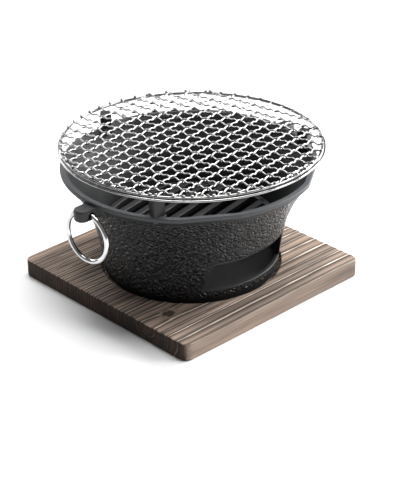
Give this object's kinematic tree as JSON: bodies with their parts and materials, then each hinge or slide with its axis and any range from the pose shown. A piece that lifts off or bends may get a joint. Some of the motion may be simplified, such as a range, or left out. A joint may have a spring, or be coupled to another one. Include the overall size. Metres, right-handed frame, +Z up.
{
  "type": "hibachi grill",
  "caption": "Round table-top charcoal grill: a flared cast-iron bowl with ring handles and a draught opening, under a woven wire net, on a square wooden board.",
  "frame": {"origin": "middle of the wooden board's flat underside", "axes": "+Z up; the draught opening faces -Y; the two lugs and their rings lie along -X (left) and +X (right)"},
  "size_m": [0.29, 0.2613, 0.1511],
  "materials": {
    "board_wood": "charred, wire-brushed",
    "bowl_iron": "pebbled, matte black",
    "grate_iron": "as cast",
    "ring_chrome": "polished",
    "net_steel": "bright drawn wire"
  },
  "bodies": {
    "board": {"base_board": "board_wood"},
    "bowl": {"bowl": "bowl_iron"},
    "grate": {"charcoal_grate": "grate_iron"},
    "net": {"net_outer_ring": "net_steel", "net_inner_ring": "net_steel", "net_wire_along_01": "net_steel", "net_wire_along_02": "net_steel", "net_wire_along_03": "net_steel", "net_wire_along_04": "net_steel", "net_wire_along_05": "net_steel", "net_wire_along_06": "net_steel", "net_wire_along_07": "net_steel", "net_wire_along_08": "net_steel", "net_wire_along_09": "net_steel", "net_wire_along_10": "net_steel", "net_wire_along_11": "net_steel", "net_wire_along_12": "net_steel", "net_wire_along_13": "net_steel", "net_wire_along_14": "net_steel", "net_wire_along_15": "net_steel", "net_wire_along_16": "net_steel", "net_wire_along_17": "net_steel", "net_wire_across_01": "net_steel", "net_wire_across_02": "net_steel", "net_wire_across_03": "net_steel", "net_wire_across_04": "net_steel", "net_wire_across_05": "net_steel", "net_wire_across_06": "net_steel", "net_wire_across_07": "net_steel", "net_wire_across_08": "net_steel", "net_wire_across_09": "net_steel", "net_wire_across_10": "net_steel", "net_wire_across_11": "net_steel", "net_wire_across_12": "net_steel", "net_wire_across_13": "net_steel", "net_wire_across_14": "net_steel", "net_wire_across_15": "net_steel", "net_wire_across_16": "net_steel", "net_wire_across_17": "net_steel"},
    "ring_left": {"ring_handle_left": "ring_chrome"},
    "ring_right": {"ring_handle_right": "ring_chrome"}
  },
  "joints": [
    {"name": "bowl_lift", "type": "slide", "parent": "board", "child": "bowl", "axis": [0, 0, 1], "range_m": [0, 0.05]},
    {"name": "grate_lift", "type": "slide", "parent": "bowl", "child": "grate", "axis": [0, 0, 1], "range_m": [0, 0.075]},
    {"name": "net_lift", "type": "slide", "parent": "bowl", "child": "net", "axis": [0, 0, 1], "range_m": [0, 0.1]},
    {"name": "ring_left_swing", "type": "hinge", "parent": "bowl", "child": "ring_left", "pos_m": [-0.1322, 0, 0.1169], "axis": [0, 1, 0], "range_deg": [-35, 120]},
    {"name": "ring_right_swing", "type": "hinge", "parent": "bowl", "child": "ring_right", "pos_m": [0.1322, 0, 0.1169], "axis": [0, -1, 0], "range_deg": [-35, 120]}
  ]
}
